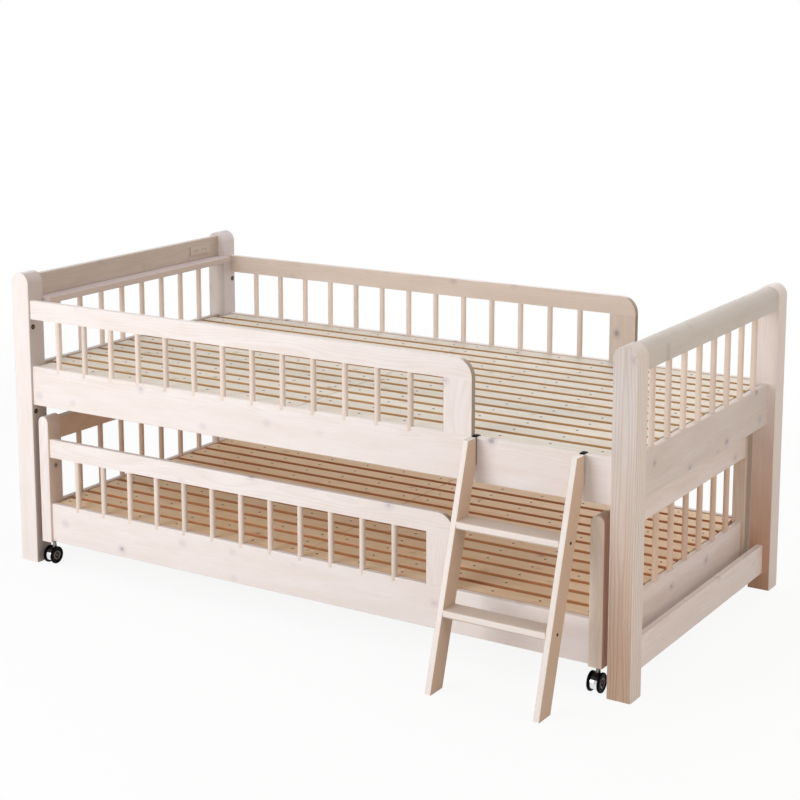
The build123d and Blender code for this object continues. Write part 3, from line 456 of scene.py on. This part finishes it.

# Each board's axes (along the grain, across its wide face, through it), its stain, and what sets it
# apart. The tints are painted shade: on the guards' ends, on the shelf's edges and on the inner faces of
# the rear and head.
guard_end_shade = ("x", "#A89B8A")
rear_shade = ("-y", "#ECE5DB")
head_shade = ("+x", "#DED7CE")
boards = {
    "side_rail_front": ("xzy", white_stain, {}),
    "side_rail_rear": ("xzy", white_stain, {"shade": rear_shade}),
    "guard_rail_front": ("xzy", white_stain, {"edge": guard_end_shade}),
    "guard_rail_rear": ("xzy", white_stain, {"edge": guard_end_shade, "shade": rear_shade}),
    "head_top_board": ("yzx", shaded_grey_stain, {"shade": head_shade}),
    "head_shelf": ("yxz", shaded_shelf_stain, {"edge": ("x", "#CDBDB3")}),
    "head_lower_board": ("yzx", shaded_grey_stain, {"shade": head_shade}),
    "head_stretcher": ("yzx", white_stain, {}),
    "foot_top_rail": ("yxz", shaded_rail_stain, {}),
    "foot_lower_board": ("yzx", shaded_grey_stain, {}),
    "foot_stretcher": ("yzx", white_stain, {}),
    "lower_side_rail_front": ("xzy", white_stain, {"ring_strength": 0.07}),
    "lower_side_rail_rear": ("xzy", white_stain, {"shade": rear_shade}),
    "lower_guard_rail": ("xzy", white_stain, {"edge": guard_end_shade}),
    "lower_guard_end_post": ("zxy", white_stain, {"edge": guard_end_shade}),
}
for number, (name, (axes, stain, more)) in enumerate(boards.items()):
    material = pine("whitewashed_pine_" + name, name, axes, stain, seed=number,
                    pith_side=(number * 37) % 90 - 45, pith_drop=40 + (number * 23) % 60, **more)
    paint(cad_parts[name], material)


def pair_of(wood, axis):
    """The pitch and first edge in mm of two boards at the two ends of a node's box along one axis."""
    low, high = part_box(wood)
    column = "xyz".index(axis)
    pitch = (high[column] - low[column]) / 2 / MM
    return pitch, low[column] / MM, axis


# Pairs of boards and posts. Their tints are painted shade: on the rear guard end post, on the inner faces
# at the lower bed's head end, on the sides of its head posts and on the foot-end face of its front foot
# post.
pairs = {
    "guard_end_posts": ("zxy", "y", white_stain, {"edge": guard_end_shade, "second": "#ECE5DB"}),
    "lower_top_boards": ("yzx", "x", white_stain, {"knots": 0.55, "shade": ("+x", "#F0DAC4")}),
    "lower_end_boards": ("yzx", "x", white_stain, {"knots": 0.55, "shade": ("+x", "#F5E4D3")}),
    "lower_head_posts": ("zxy", "y", white_stain, {"edge": ("x", "#DECABD")}),
    "lower_foot_posts": ("zxy", "y", tan_stain, {"shade": ("+x", "#F7D5C9")}),
}
for number, (name, (axes, pair_axis, stain, more)) in enumerate(pairs.items()):
    material = pine("whitewashed_pine_" + name, name, axes, stain, seed=20 + number,
                    repeat=pair_of(name, pair_axis), **{"knots": 0.4, **more})
    paint(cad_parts[name], material)

# Posts: square-sawn pine uprights with half-round tops, grain upright. The two at the foot end are redder
# towards the bottom, and the front one's grain shows more; on the rear one the redder lower part is
# painted warm shade near the floor. Each has its stain, ring strength, ring gap in mm, fade towards the
# foot, and the colour of its sides, which is painted shade on the head posts.
posts = {
    "head_post_front": (white_stain, 0.13, 4.6, None, "#C8BDB7"),
    "head_post_rear": (shaded_grey_stain, 0.15, 4.6, None, "#D4CCCD"),
    "foot_post_front": (shaded_grey_stain, 0.36, 6.4, ("#D8BDA8", "#A87F66", 800.0, 60.0), "#F0E8E2"),
    "foot_post_rear": (white_stain, 0.15, 4.6, ("#D0A990", "#A67F66", 700.0, 60.0), "#F0E8E2"),
}
for number, (name, (stain, grain, gap, fade, sides)) in enumerate(posts.items()):
    material = pine("whitewashed_pine_" + name, name, "zxy", stain, seed=30 + number, ring_gap=gap,
                    pith_side=number * 9 - 20, pith_drop=30 + number * 7, knots=0.45,
                    ring_strength=grain, fade=fade, edge=("x", sides))
    paint(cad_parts[name], material)

# Spindles: turned pine dowels 17 mm thick, glued into blind holes above and below. Each dowel was cut
# from its own strip, so its tone and grain differ a little from its neighbour's.
dowel_stain = ("#F1E4DA", "#E9D8CA", "#CBB29F", "#A3968F", "#D4C5BC")
dowel_figure = {"knots": 0.0, "ring_gap": 2.6, "ring_strength": 0.16}
rows = {
    "guard_spindles_front": ("x", 13), "guard_spindles_rear": ("x", 13),
    "lower_guard_spindles": ("x", 12), "head_spindles": ("y", 8), "foot_spindles": ("y", 8),
}
for name, (row_axis, count) in rows.items():
    axes = "zxy" if row_axis == "x" else "zyx"
    material = pine("whitewashed_pine_" + name, name, axes, dowel_stain,
                    repeat=row_of(name, count, row_axis), **dowel_figure)
    paint(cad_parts[name], material)

# The lower bed's end spindles: a row at each end in one node, so the pitch is worked out from one row.
# They are a warmer pine.
dowel_diameter = 17.0
end_row_count = 8
warm_stain = ("#ECD6C4", "#E3C9B5", "#C0A28C", "#A3968F", "#D4C5BC")
end_low, end_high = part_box("lower_end_spindles")
dowel_pitch = ((end_high[1] - end_low[1]) / MM - dowel_diameter) / (end_row_count - 1)
first_dowel = (end_low[1] + dowel_diameter / 2 * MM) / MM - dowel_pitch / 2
material = pine("whitewashed_pine_lower_end_spindles", "lower_end_spindles", "zyx", warm_stain,
                repeat=(dowel_pitch, first_dowel, "y"), **dowel_figure)
paint(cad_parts["lower_end_spindles"], material)

# Slats: bare planed pine, thirteen to a deck in two halves that meet over the middle, nailed to battens
# that lie on ledgers inside the side rails. The slats' sides and the battens and ledgers under them are
# a warm orange brown, painted shade that draws the lines between the slats. The lower deck's slats are
# warmer than the upper ones, painted warm bounce light in the upper bed's shade.
upper_pine = ("#EFEAE2", "#E7DED1", "#CBB797", "#A08E77", "#D6CAB6")
lower_pine_bounce_lit = ("#FFEBCE", "#FADDB8", "#DAAC78", "#A07C58", "#DDBB93")
shaded_under_pine = ("#CFA878", "#C39A68", "#9E7443", "#7F5C38", "#B08A5C")
upper_gap_shade = "#C39559"
lower_gap_shade = "#C98658"
slat_count = 13
slat_gap = 19.0
for number, (name, colours, side_shade_colour) in enumerate((
    ("upper_slats_head", upper_pine, upper_gap_shade), ("upper_slats_foot", upper_pine, upper_gap_shade),
    ("lower_slats_head", lower_pine_bounce_lit, lower_gap_shade), ("lower_slats_foot", lower_pine_bounce_lit, lower_gap_shade),
)):
    low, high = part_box(name)
    pitch = ((high[1] - low[1]) / MM + slat_gap) / slat_count
    first = low[1] / MM - slat_gap / 2
    material = pine("bare_pine_" + name, name, "xyz", colours, seed=40 + number,
                    repeat=(pitch, first, "y"), knots=0.35, knot_radius=5.0, ring_strength=0.24,
                    fibre_strength=0.22, edge=("y", side_shade_colour))
    paint(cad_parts[name], material)
# Battens and ledgers: their warm orange brown is painted shade under the slats
for name, axes in (("upper_battens", "yxz"), ("lower_battens", "yxz"), ("upper_ledgers", "xyz"),
                   ("lower_ledgers", "xyz")):
    paint(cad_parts[name], pine("shaded_rough_pine_" + name, name, axes, shaded_under_pine, knots=0.3,
                                     ring_strength=0.3, fibre_strength=0.3))

# Ladder: two leaning stringers, cut upright where they rest on the rail, and two treads screwed between
# them, all whitewashed pine. The stringers' sides take a warm tan and the treads' tops and undersides a
# darker tint, both painted shade.
ladder_stain = ("#FBF5F1", "#F6ECE5", "#CDB7A8", "#A3989A", "#DACFCD")
ladder_boards = {
    "ladder_stringer_left": ("zyx", ("x", "#D7BFA9")),
    "ladder_stringer_right": ("zyx", ("x", "#D7BFA9")),
    "ladder_treads": ("xyz", ("z", "#DCCEC3")),
}
for number, (name, (axes, shaded_faces)) in enumerate(ladder_boards.items()):
    material = pine("whitewashed_pine_" + name, name, axes, ladder_stain, seed=50 + number,
                    pith_side=number * 13 - 10, knots=0.4, edge=shaded_faces)
    paint(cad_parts[name], material)


# Nails, bolts, angles and sockets: blackened nail heads flush with the slats, and zinc-plated steel where
# the rails bolt to the posts and in the posts of the lower bed.
def plain(name, code, roughness, metallic=0.0, grain=260.0, **more):
    """A small part's material: colour and roughness vary a little, at a scale of grain per metre."""
    material = bpy.data.materials.new(name)
    material.use_nodes = True
    tree = material.node_tree
    tree.nodes.clear()
    place = node(tree, "ShaderNodeTexCoord")
    cloud = node(tree, "ShaderNodeTexNoise",
                 {"Vector": place.outputs["Object"], "Scale": grain, "Detail": 3.0})
    dull = [c * 0.82 for c in linear(code)[:3]] + [1.0]
    colour = node(tree, "ShaderNodeMix", {"Factor": cloud.outputs[0], "A": linear(code), "B": dull},
                  data_type="RGBA")
    rough = node(tree, "ShaderNodeMapRange", {0: cloud.outputs[0], 1: 0.3, 2: 0.7, 3: roughness * 0.85,
                                              4: roughness * 1.15})
    surface = node(tree, "ShaderNodeBsdfPrincipled",
                   {"Base Color": colour.outputs["Result"], "Roughness": rough.outputs[0],
                    "Metallic": metallic, **more})
    node(tree, "ShaderNodeOutputMaterial", {"Surface": surface.outputs[0]})
    return material


dark_steel = plain("blackened_nail_steel", "#171514", 0.6, **{"Specular IOR Level": 0.1})
zinc_steel = plain("zinc_plated_steel", "#B9BABB", 0.35, 1.0)
bronze_steel = plain("bronzed_screw_steel", "#3A302B", 0.5)
for name, material in (
    ("upper_slat_nails", dark_steel), ("lower_slat_nails", dark_steel), ("upper_bolts", zinc_steel),
    ("lower_bolts", zinc_steel), ("upper_corner_brackets", zinc_steel),
    ("lower_corner_brackets", zinc_steel), ("caster_sockets", zinc_steel),
    ("ladder_screws", bronze_steel),
):
    paint(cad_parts[name], material)

# Outlet: a two-socket unit moulded in beige urea plastic, let into the head board so that its face plate
# and open slots show. Each socket has a fine raised rim; the slots and all else set back behind the face
# plate are painted near black, painted shade.
plate_edge = 2.0
slot_shade_start = 0.4
slot_shade_end = 1.2
socket_width = 27.0
socket_height = 21.0
socket_round = 5.0
socket_spacing = 43.0
rim_radius = 0.55
rim_sunk = 0.2
low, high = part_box("outlet_unit")
plate_middle = [(low[i] + high[i]) / 2 / MM for i in range(3)]
plate_half = [(high[i] - low[i]) / 2 / MM for i in range(3)]
plate_face = high[0] / MM
urea = plain("moulded_urea_plastic", "#C6B7A9", 0.34)
tree = urea.node_tree
surface = next(item for item in tree.nodes if item.type == "BSDF_PRINCIPLED")
skin = surface.inputs["Base Color"].links[0].from_socket
place = next(item for item in tree.nodes if item.type == "TEX_COORD")
split = node(tree, "ShaderNodeSeparateXYZ", {0: place.outputs["Object"]})
# Painted shade: near black on all that lies set back behind the face plate, inside its rim
inside = node(tree, "ShaderNodeMapRange", {0: split.outputs[0], 1: (plate_face - slot_shade_end) * MM,
                                           2: (plate_face - slot_shade_start) * MM, 3: 1.0, 4: 0.0})
for axis in (1, 2):
    off = node(tree, "ShaderNodeMath", {0: split.outputs[axis], 1: plate_middle[axis] * MM},
               operation="SUBTRACT")
    off = node(tree, "ShaderNodeMath", {0: off.outputs[0]}, operation="ABSOLUTE")
    off = node(tree, "ShaderNodeMath", {0: off.outputs[0], 1: (plate_half[axis] - plate_edge) * MM},
               operation="LESS_THAN")
    inside = node(tree, "ShaderNodeMath", {0: inside.outputs[0], 1: off.outputs[0]},
                  operation="MULTIPLY")
skin = node(tree, "ShaderNodeMix", {"Factor": inside.outputs[0], "A": skin, "B": linear("#1A1613")},
            data_type="RGBA")
tree.links.new(skin.outputs["Result"], surface.inputs["Base Color"])
paint(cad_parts["outlet_unit"], urea)


def rounded_frame(width, height, radius, steps=6):
    """A rectangle with round corners, anticlockwise: a quarter circle about each corner's centre."""
    quarter = np.linspace(0, pi / 2, steps)
    sides = ((1, 1, 0), (-1, 1, 1), (-1, -1, 2), (1, -1, 3))
    return np.concatenate([
        np.stack([right_side * (width / 2 - radius) + radius * np.cos(quarter + turns * pi / 2),
                  upper * (height / 2 - radius) + radius * np.sin(quarter + turns * pi / 2)], axis=-1)
        for right_side, upper, turns in sides])


def outward(made):
    """Turns a closed piece's faces to look outwards."""
    work = bmesh.new()
    work.from_mesh(made.data)
    bmesh.ops.recalc_face_normals(work, faces=work.faces)
    work.to_mesh(made.data)
    work.free()
    return made


def fitted(made, body, material):
    """Lets a finished piece ride on its body and gives it its material."""
    paint(made, material)
    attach(made, body)
    return made


turn = np.linspace(0, 2 * pi, 8, endpoint=False)
rim_section = rim_radius * np.stack([np.cos(turn), np.sin(turn)], axis=-1)
for name, side in (("left", -1), ("right", 1)):
    grid = []
    for reach, proud in rim_section:
        ring = rounded_frame(socket_width + 2 * reach, socket_height + 2 * reach, socket_round + reach)
        grid.append(np.column_stack([np.full(len(ring), plate_face + proud - rim_sunk),
                                     plate_middle[1] + side * socket_spacing / 2 + ring[:, 0],
                                     plate_middle[2] + ring[:, 1]]))
    rim = grid_object("outlet_rim_" + name, np.array(grid) * MM, closed_u=True, closed_v=True)
    fitted(outward(rim), "upper_bed", urea)


# Insert nuts: steel nuts with a dark bronzed flange and a brass-coloured thread, screwed into the inner
# faces of the posts, where they stand empty.
def turned(name, start, axis, profile, count=28, sweep=None):
    """Carries a profile of (radius, distance) in mm round an axis letter, from a start in mm.

    Each profile point at radius r and distance t along the axis makes a circle, or with sweep the arc
    between two angles. A full turn whose profile ends differ in both radius and distance gets a flat
    face at each end. Any other profile is closed from its last point to its first, and an arc gets a
    flat face at each side.
    """
    profile = np.array(profile, float)
    start_angle, end_angle = sweep or (0, 2 * pi)
    angles = np.linspace(start_angle, end_angle, count, endpoint=sweep is not None)
    column = "xyz".index(axis)
    first, second = [i for i in range(3) if i != column]
    grid = np.zeros((len(profile), count, 3))
    grid[..., column] = start[column] + profile[:, 1, None]
    grid[..., first] = start[first] + profile[:, 0, None] * np.cos(angles)
    grid[..., second] = start[second] + profile[:, 0, None] * np.sin(angles)
    index = np.arange(len(profile) * count).reshape(len(profile), count)
    solid = profile[0, 1] != profile[-1, 1] and sweep is None and profile[0, 0] != profile[-1, 0]
    rows = index if solid else np.vstack([index, index[:1]])
    ring = np.hstack([rows, rows[:, :1]]) if sweep is None else rows
    faces = [list(face) for face in quads_between(ring)]
    if solid:
        faces += [list(index[0]), list(index[-1][::-1])]
    if sweep is not None:
        faces += [list(index[:, 0]), list(index[::-1, -1])]
    return outward(mesh_object(name, grid.reshape(-1, 3) * MM, faces))


flange_steel = plain("bronzed_nut_steel", "#2B2725", 0.42, 0.4)
thread_brass = plain("brass_thread", "#9A7B45", 0.35, 0.9)
nut_radius = 8.0
collar_profile = [(3.4, 0.0), (8.0, 0.0), (8.0, 0.9), (7.3, 1.5), (5.4, 1.5), (4.9, 1.1), (3.4, 1.1)]
thread_profile = [(3.5, 1.3), (3.5, -2.5), (2.6, -2.5), (2.6, 0.6), (3.0, 1.3)]
nut_low, nut_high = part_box("post_insert_nuts")
post_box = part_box("head_post_front")
rear_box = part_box("foot_post_rear")
head_face = post_box[1][0] / MM
foot_face = rear_box[0][0] / MM
nut_rows = [nut_low[1] / MM + nut_radius, nut_high[1] / MM - nut_radius]
nut_levels = [nut_low[2] / MM + nut_radius, nut_high[2] / MM - nut_radius]
spots = [(head_face, 1, y, z) for y in nut_rows for z in nut_levels]
spots += [(foot_face, -1, y, nut_levels[0]) for y in nut_rows]
for number, (face, way, y, z) in enumerate(spots):
    for part, profile, count, material in (
        ("collar", collar_profile, 28, flange_steel), ("thread", thread_profile, 20, thread_brass),
    ):
        made = turned("insert_nut_%s_%d" % (part, number), (face, y, z), "x",
                      [(radius, way * out) for radius, out in profile], count=count)
        fitted(made, "upper_bed", material)
        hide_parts("post_insert_nuts")

# Ladder hooks: flat steel strap, bent twice over the side rail with a small radius and powder-coated
# black. Each is screwed down the back of its stringer.
black_strap = plain("black_powder_coat", "#050505", 0.6, **{"Specular IOR Level": 0.06})
low, high = [[value / MM for value in corner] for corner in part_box("ladder_hooks")]
hook_width = 13.0
hook_thick = 2.5
hook_lip = 11.0
hook_edge = 0.6
bend = 2.6
end_bevel = 0.4
end_taper = 0.94
half = hook_thick / 2
corner_low = low[1] + half
corner_high = high[1] - half
hook_top = high[2] - half
turn = np.linspace(0, pi / 2, 7)
path = np.concatenate([
    [(corner_low, low[2]), (corner_low, low[2] + end_bevel)],
    np.column_stack([corner_low + bend - bend * np.cos(turn), hook_top - bend + bend * np.sin(turn)]),
    np.column_stack([corner_high - bend + bend * np.sin(turn), hook_top - bend + bend * np.cos(turn)]),
    [(corner_high, hook_top - hook_lip - half + end_bevel), (corner_high, hook_top - hook_lip - half)],
])
along = np.gradient(path, axis=0)
along /= np.linalg.norm(along, axis=1, keepdims=True)
aside = np.stack([-along[:, 1], along[:, 0]], axis=-1)
section = rounded_frame(hook_width, hook_thick, hook_edge, steps=4)
taper = np.ones(len(path))
taper[[0, -1]] = end_taper
for name, middle in (("left", low[0] + hook_width / 2), ("right", high[0] - hook_width / 2)):
    grid = np.zeros((len(path), len(section), 3))
    grid[..., 0] = middle + taper[:, None] * section[None, :, 0]
    grid[..., 1] = path[:, :1] + taper[:, None] * aside[:, :1] * section[None, :, 1]
    grid[..., 2] = path[:, 1:] + taper[:, None] * aside[:, 1:] * section[None, :, 1]
    index = np.arange(grid[..., 0].size).reshape(grid.shape[:2])
    ring = np.hstack([index, index[:, :1]])
    faces = [list(face) for face in quads_between(ring)] + [list(index[0]), list(index[-1][::-1])]
    strap = outward(mesh_object("ladder_hook_" + name, grid.reshape(-1, 3) * MM, faces, False))
    fitted(strap, "ladder", black_strap)
    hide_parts("ladder_hooks")

# Casters: twin-wheel furniture casters. A bright chrome apron at the front and a dark glossy cover over
# the top stand between two thin black nylon wheels, on a steel stem that is pushed into the post. Each
# wheel has a plated ring and a glossy brown cap, whose flat faces close the axle's hole.
chrome = plain("bright_chrome", "#F0F1F3", 0.12, 1.0)
stem_steel = plain("dull_plated_stem", "#8D8983", 0.38, 1.0)
black_nylon = plain("moulded_black_nylon", "#030304", 0.42, **{"Specular IOR Level": 0.05})
dark_gloss_cover = plain("glossy_dark_cover", "#151315", 0.18, **{"Specular IOR Level": 0.35})
brown_cap = plain("brown_hub_cap", "#6E5544", 0.24)
trail = 8.0
running_gap = 0.3
apron_arc = (radians(150), radians(216))
cover_arc = (radians(-30), radians(149))
wheel_profile = [(4.2, 0.5), (9.0, 0.5), (10.0, 0.9), (21.4, 0.9), (22.4, 0.2), (24.6, 0.0),
                 (26.3, 0.6), (27.0, 1.8), (27.0, 5.2), (26.3, 6.4), (24.9, 6.9), (22.8, 7.0),
                 (21.7, 6.6), (20.9, 5.9), (16.2, 5.7), (15.4, 6.1), (14.8, 5.6), (14.2, 4.4),
                 (4.2, 4.4)]
ring_profile = [(14.1, 4.4), (14.1, 5.7), (13.8, 6.2), (13.2, 6.2), (12.8, 5.6), (12.6, 4.4)]
cap_profile = [(12.5, 4.4), (12.5, 5.4), (11.0, 4.9), (8.0, 4.3), (4.2, 4.1), (4.2, 3.6), (12.0, 3.6)]
neck_profile = [(6.8, 44.0), (6.8, 52.0), (6.2, 58.0), (5.2, 62.0), (4.6, 70.6), (4.2, 71.1),
                (4.0, 102.0)]
stem_collar_profile = [(4.7, 65.6), (7.0, 66.2), (7.4, 67.0), (7.4, 68.4), (6.6, 69.2), (4.6, 69.2)]
for name in ("head_front", "head_rear", "foot_front", "foot_rear"):
    low, high = [[value / MM for value in corner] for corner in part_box("caster_wheels_" + name)]
    body_low, body_high = [[value / MM for value in corner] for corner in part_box("caster_body_" + name)]
    centre = [(low[i] + high[i]) / 2 for i in range(3)]
    x, y, z = centre
    half = (body_high[0] - body_low[0]) / 2
    shell = [(21.8, -half), (22.7, 0.2 - half), (23.0, 1.2 - half), (23.0, half - 1.2),
             (22.7, half - 0.2), (21.8, half), (21.0, half - 0.8), (21.0, 0.8 - half)]
    apron = turned("caster_apron_" + name, centre, "x", shell, count=20, sweep=apron_arc)
    cover = turned("caster_cover_" + name, centre, "x", shell, count=40, sweep=cover_arc)
    core = turned("caster_core_" + name, centre, "x",
                  [(4.0, 0.5 - half), (19.5, 0.5 - half), (20.4, 1.4 - half), (20.4, half - 1.4),
                   (19.5, half - 0.5), (4.0, half - 0.5)])
    stem_foot = (x, y + trail, 0.0)
    neck = turned("caster_neck_" + name, stem_foot, "z", neck_profile)
    collar = turned("caster_collar_" + name, stem_foot, "z", stem_collar_profile)
    for made, material in ((apron, chrome), (cover, dark_gloss_cover), (core, black_nylon),
                           (neck, stem_steel), (collar, black_nylon)):
        fitted(made, "caster_" + name, material)
        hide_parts("caster_body_" + name)
    for side, way in (("inner", -1), ("outer", 1)):
        face = (x + way * (half + running_gap), y, z)
        for part, profile, count, material in (
            ("wheel", wheel_profile, 44, black_nylon), ("ring", ring_profile, 32, stem_steel),
            ("cap", cap_profile, 32, brown_cap),
        ):
            made = turned("caster_%s_%s_%s" % (part, side, name), face, "x",
                          [(radius, way * out) for radius, out in profile], count=count)
            fitted(made, "wheels_" + name, material)
            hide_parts("caster_wheels_" + name)
